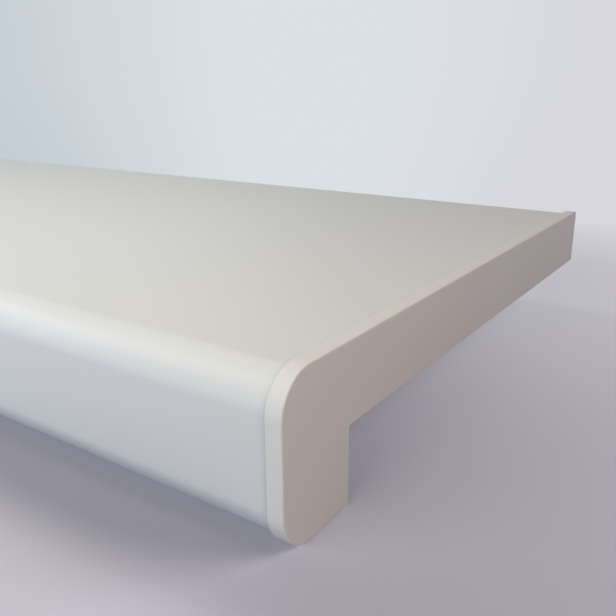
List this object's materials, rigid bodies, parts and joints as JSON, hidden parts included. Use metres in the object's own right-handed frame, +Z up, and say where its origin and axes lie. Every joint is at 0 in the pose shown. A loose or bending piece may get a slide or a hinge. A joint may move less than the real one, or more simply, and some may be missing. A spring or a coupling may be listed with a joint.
{
  "type": "window sill board",
  "caption": "Interior window sill board in white plastic, with a rounded drop nose along the front and a moulded cap on each end.",
  "frame": {"origin": "middle of the capped board's footprint, at the level of the lowest point of the end caps", "axes": "+X along the length to the board's right end as seen from the room, +Y from the nose to the rear edge at the window, +Z up, with the top face level as it is fitted"},
  "size_m": [1.003, 0.211, 0.042],
  "materials": {
    "board_plastic": "satin white",
    "cap_plastic": "satin white"
  },
  "bodies": {
    "root": {"sill_board": "board_plastic", "end_cap_right": "cap_plastic", "end_cap_left": "cap_plastic"}
  },
  "joints": []
}
